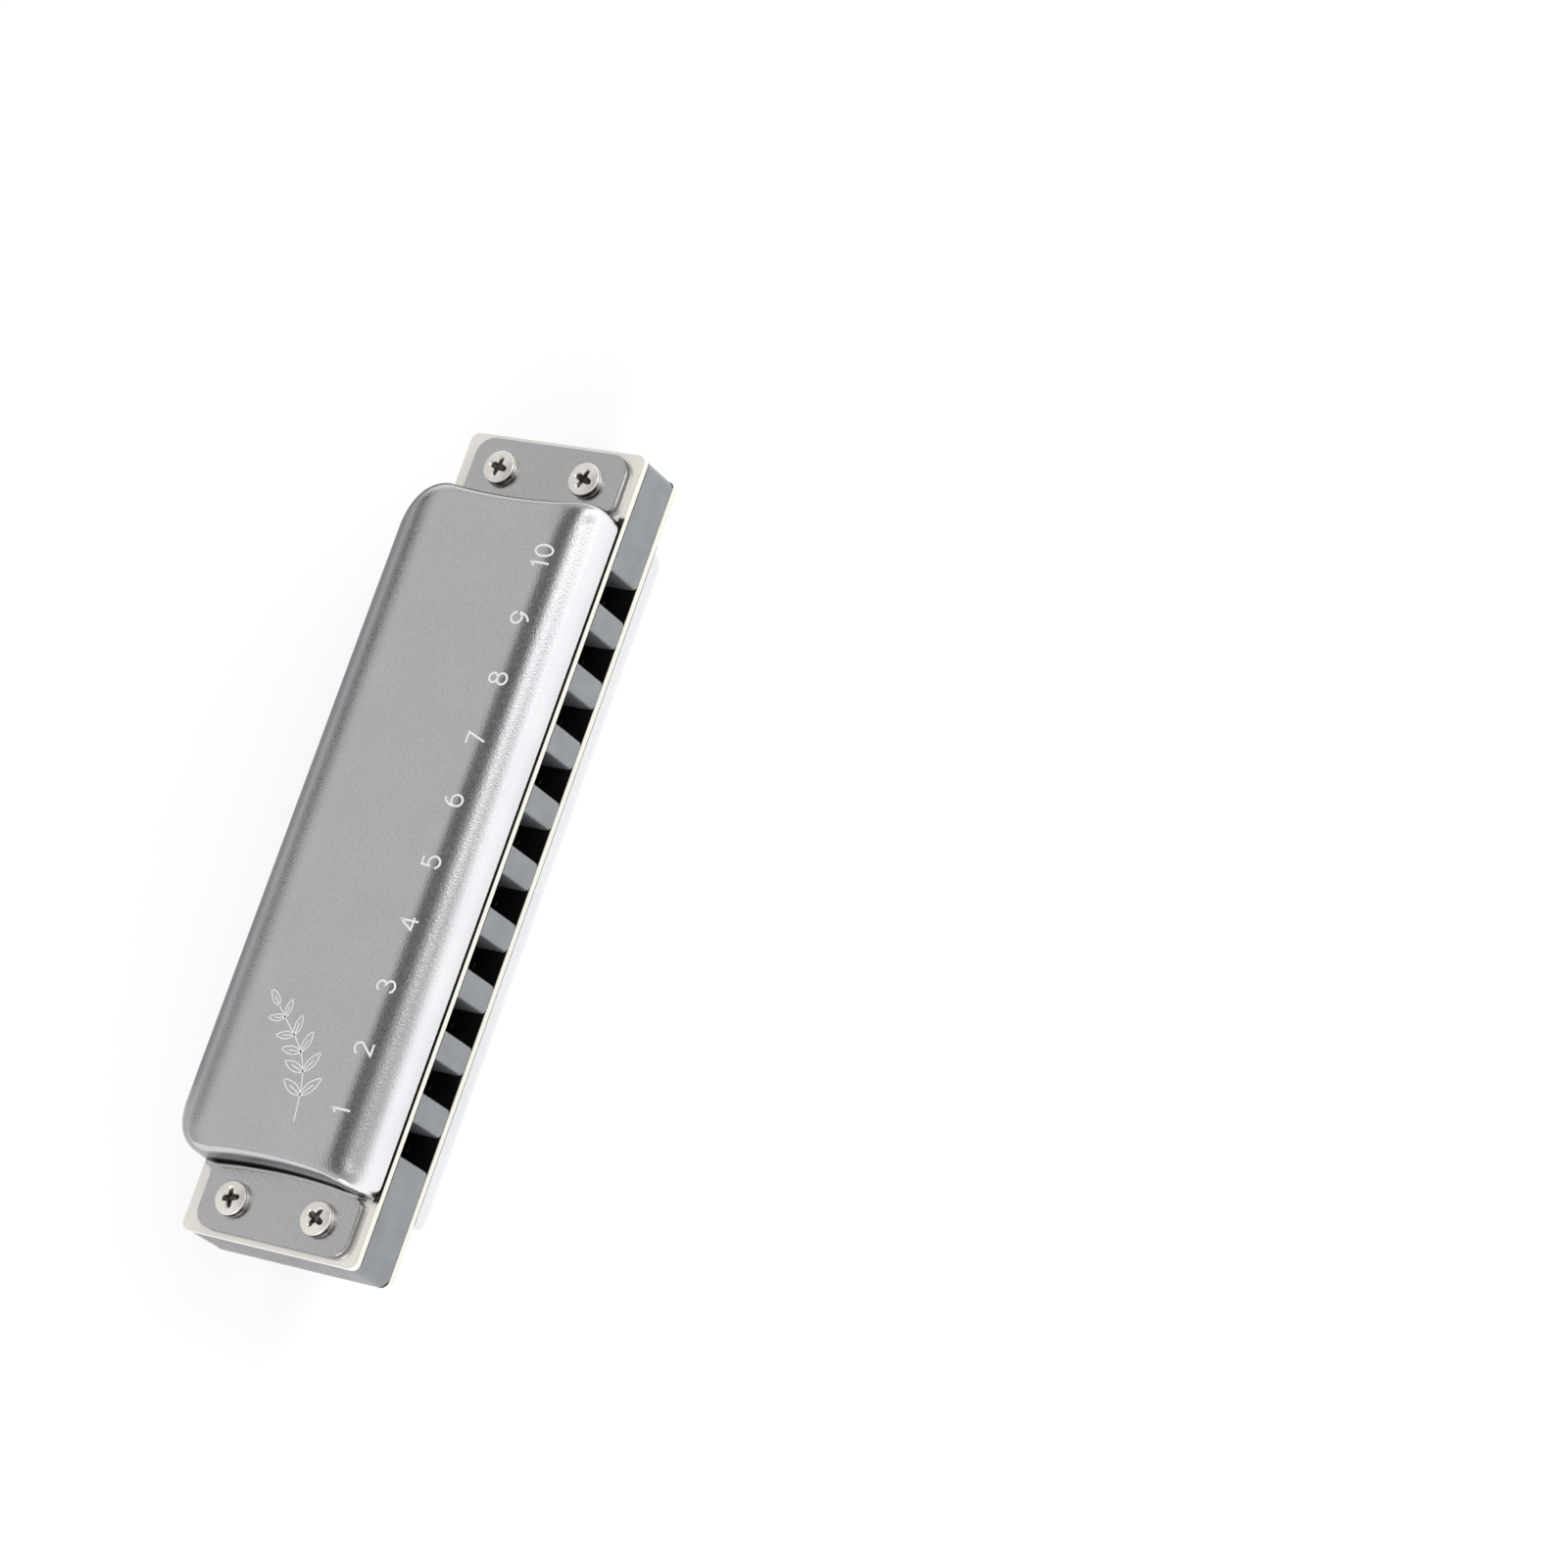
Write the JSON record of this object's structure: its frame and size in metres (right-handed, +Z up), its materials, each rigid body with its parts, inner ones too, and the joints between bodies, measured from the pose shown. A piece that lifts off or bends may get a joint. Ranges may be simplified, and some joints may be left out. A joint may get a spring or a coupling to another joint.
{
  "type": "diatonic harmonica",
  "caption": "Mouth organ with metal covers screwed over two reed plates and a comb with a row of square mouth holes, and brass reeds that swing in their slots.",
  "frame": {"origin": "on the surface that the harmonica lies on, under the middle of its bounding box", "axes": "+X along the row of holes from hole 1 to hole 10, +Y from the mouth side to the open back, +Z up through the top cover"},
  "size_m": [0.0992, 0.0284, 0.0187],
  "materials": {
    "cover_steel": "fine bead-blasted satin",
    "comb_body": "satin grey",
    "reed_plate_nickel": "polished nickel plate on brass",
    "reed_brass": "milled brass",
    "rivet_brass": "plain brass",
    "cover_screw_nickel": "polished nickel",
    "plate_screw_metal": "plain turned",
    "nut_metal": "polished nickel"
  },
  "bodies": {
    "root": {"comb": "comb_body", "upper_reed_plate": "reed_plate_nickel", "lower_reed_plate": "reed_plate_nickel", "blow_rivet_1": "rivet_brass", "draw_rivet_1": "rivet_brass", "blow_rivet_2": "rivet_brass", "draw_rivet_2": "rivet_brass", "blow_rivet_3": "rivet_brass", "draw_rivet_3": "rivet_brass", "blow_rivet_4": "rivet_brass", "draw_rivet_4": "rivet_brass", "blow_rivet_5": "rivet_brass", "draw_rivet_5": "rivet_brass", "blow_rivet_6": "rivet_brass", "draw_rivet_6": "rivet_brass", "blow_rivet_7": "rivet_brass", "draw_rivet_7": "rivet_brass", "blow_rivet_8": "rivet_brass", "draw_rivet_8": "rivet_brass", "blow_rivet_9": "rivet_brass", "draw_rivet_9": "rivet_brass", "blow_rivet_10": "rivet_brass", "draw_rivet_10": "rivet_brass", "top_cover": "cover_steel", "bottom_cover": "cover_steel", "cover_screw_front_low": "cover_screw_nickel", "cover_nut_front_low": "nut_metal", "cover_screw_rear_low": "cover_screw_nickel", "cover_nut_rear_low": "nut_metal", "cover_screw_front_high": "cover_screw_nickel", "cover_nut_front_high": "nut_metal", "cover_screw_rear_high": "cover_screw_nickel", "cover_nut_rear_high": "nut_metal", "plate_screw_1": "plate_screw_metal", "plate_screw_2": "plate_screw_metal", "plate_screw_3": "plate_screw_metal", "plate_screw_4": "plate_screw_metal", "plate_screw_5": "plate_screw_metal", "plate_screw_6": "plate_screw_metal"},
    "blow_reed_1": {"blow_reed_1": "reed_brass"},
    "blow_reed_2": {"blow_reed_2": "reed_brass"},
    "blow_reed_3": {"blow_reed_3": "reed_brass"},
    "blow_reed_4": {"blow_reed_4": "reed_brass"},
    "blow_reed_5": {"blow_reed_5": "reed_brass"},
    "blow_reed_6": {"blow_reed_6": "reed_brass"},
    "blow_reed_7": {"blow_reed_7": "reed_brass"},
    "blow_reed_8": {"blow_reed_8": "reed_brass"},
    "blow_reed_9": {"blow_reed_9": "reed_brass"},
    "blow_reed_10": {"blow_reed_10": "reed_brass"},
    "draw_reed_1": {"draw_reed_1": "reed_brass"},
    "draw_reed_2": {"draw_reed_2": "reed_brass"},
    "draw_reed_3": {"draw_reed_3": "reed_brass"},
    "draw_reed_4": {"draw_reed_4": "reed_brass"},
    "draw_reed_5": {"draw_reed_5": "reed_brass"},
    "draw_reed_6": {"draw_reed_6": "reed_brass"},
    "draw_reed_7": {"draw_reed_7": "reed_brass"},
    "draw_reed_8": {"draw_reed_8": "reed_brass"},
    "draw_reed_9": {"draw_reed_9": "reed_brass"},
    "draw_reed_10": {"draw_reed_10": "reed_brass"}
  },
  "joints": [
    {"name": "blow_1_swing", "type": "hinge", "parent": "root", "child": "blow_reed_1", "pos_m": [-0.03375, 0.00495, 0.01205], "axis": [1, 0, 0], "range_deg": [-3.5, 3.5], "stiffness_Nm_per_rad": 0.0704},
    {"name": "blow_2_swing", "type": "hinge", "parent": "root", "child": "blow_reed_2", "pos_m": [-0.02625, 0.00431, 0.01205], "axis": [1, 0, 0], "range_deg": [-3.5, 3.5], "stiffness_Nm_per_rad": 0.0743},
    {"name": "blow_3_swing", "type": "hinge", "parent": "root", "child": "blow_reed_3", "pos_m": [-0.01875, 0.00366, 0.01205], "axis": [1, 0, 0], "range_deg": [-3.5, 3.5], "stiffness_Nm_per_rad": 0.0785},
    {"name": "blow_4_swing", "type": "hinge", "parent": "root", "child": "blow_reed_4", "pos_m": [-0.01125, 0.00302, 0.01205], "axis": [1, 0, 0], "range_deg": [-3.5, 3.5], "stiffness_Nm_per_rad": 0.0833},
    {"name": "blow_5_swing", "type": "hinge", "parent": "root", "child": "blow_reed_5", "pos_m": [-0.00375, 0.00237, 0.01205], "axis": [1, 0, 0], "range_deg": [-3.5, 3.5], "stiffness_Nm_per_rad": 0.0886},
    {"name": "blow_6_swing", "type": "hinge", "parent": "root", "child": "blow_reed_6", "pos_m": [0.00375, 0.00173, 0.01205], "axis": [1, 0, 0], "range_deg": [-3.5, 3.5], "stiffness_Nm_per_rad": 0.0947},
    {"name": "blow_7_swing", "type": "hinge", "parent": "root", "child": "blow_reed_7", "pos_m": [0.01125, 0.00108, 0.01205], "axis": [1, 0, 0], "range_deg": [-3.5, 3.5], "stiffness_Nm_per_rad": 0.1016},
    {"name": "blow_8_swing", "type": "hinge", "parent": "root", "child": "blow_reed_8", "pos_m": [0.01875, 0.00044, 0.01205], "axis": [1, 0, 0], "range_deg": [-3.5, 3.5], "stiffness_Nm_per_rad": 0.1097},
    {"name": "blow_9_swing", "type": "hinge", "parent": "root", "child": "blow_reed_9", "pos_m": [0.02625, -0.00021, 0.01205], "axis": [1, 0, 0], "range_deg": [-3.5, 3.5], "stiffness_Nm_per_rad": 0.119},
    {"name": "blow_10_swing", "type": "hinge", "parent": "root", "child": "blow_reed_10", "pos_m": [0.03375, -0.00085, 0.01205], "axis": [1, 0, 0], "range_deg": [-3.5, 3.5], "stiffness_Nm_per_rad": 0.13},
    {"name": "draw_1_swing", "type": "hinge", "parent": "root", "child": "draw_reed_1", "pos_m": [-0.03375, -0.00995, 0.00495], "axis": [1, 0, 0], "range_deg": [-3.5, 3.5], "stiffness_Nm_per_rad": 0.0704},
    {"name": "draw_2_swing", "type": "hinge", "parent": "root", "child": "draw_reed_2", "pos_m": [-0.02625, -0.00995, 0.00495], "axis": [1, 0, 0], "range_deg": [-3.5, 3.5], "stiffness_Nm_per_rad": 0.0743},
    {"name": "draw_3_swing", "type": "hinge", "parent": "root", "child": "draw_reed_3", "pos_m": [-0.01875, -0.00995, 0.00495], "axis": [1, 0, 0], "range_deg": [-3.5, 3.5], "stiffness_Nm_per_rad": 0.0785},
    {"name": "draw_4_swing", "type": "hinge", "parent": "root", "child": "draw_reed_4", "pos_m": [-0.01125, -0.00995, 0.00495], "axis": [1, 0, 0], "range_deg": [-3.5, 3.5], "stiffness_Nm_per_rad": 0.0833},
    {"name": "draw_5_swing", "type": "hinge", "parent": "root", "child": "draw_reed_5", "pos_m": [-0.00375, -0.00995, 0.00495], "axis": [1, 0, 0], "range_deg": [-3.5, 3.5], "stiffness_Nm_per_rad": 0.0886},
    {"name": "draw_6_swing", "type": "hinge", "parent": "root", "child": "draw_reed_6", "pos_m": [0.00375, -0.00995, 0.00495], "axis": [1, 0, 0], "range_deg": [-3.5, 3.5], "stiffness_Nm_per_rad": 0.0947},
    {"name": "draw_7_swing", "type": "hinge", "parent": "root", "child": "draw_reed_7", "pos_m": [0.01125, -0.00995, 0.00495], "axis": [1, 0, 0], "range_deg": [-3.5, 3.5], "stiffness_Nm_per_rad": 0.1016},
    {"name": "draw_8_swing", "type": "hinge", "parent": "root", "child": "draw_reed_8", "pos_m": [0.01875, -0.00995, 0.00495], "axis": [1, 0, 0], "range_deg": [-3.5, 3.5], "stiffness_Nm_per_rad": 0.1097},
    {"name": "draw_9_swing", "type": "hinge", "parent": "root", "child": "draw_reed_9", "pos_m": [0.02625, -0.00995, 0.00495], "axis": [1, 0, 0], "range_deg": [-3.5, 3.5], "stiffness_Nm_per_rad": 0.119},
    {"name": "draw_10_swing", "type": "hinge", "parent": "root", "child": "draw_reed_10", "pos_m": [0.03375, -0.00995, 0.00495], "axis": [1, 0, 0], "range_deg": [-3.5, 3.5], "stiffness_Nm_per_rad": 0.13}
  ]
}
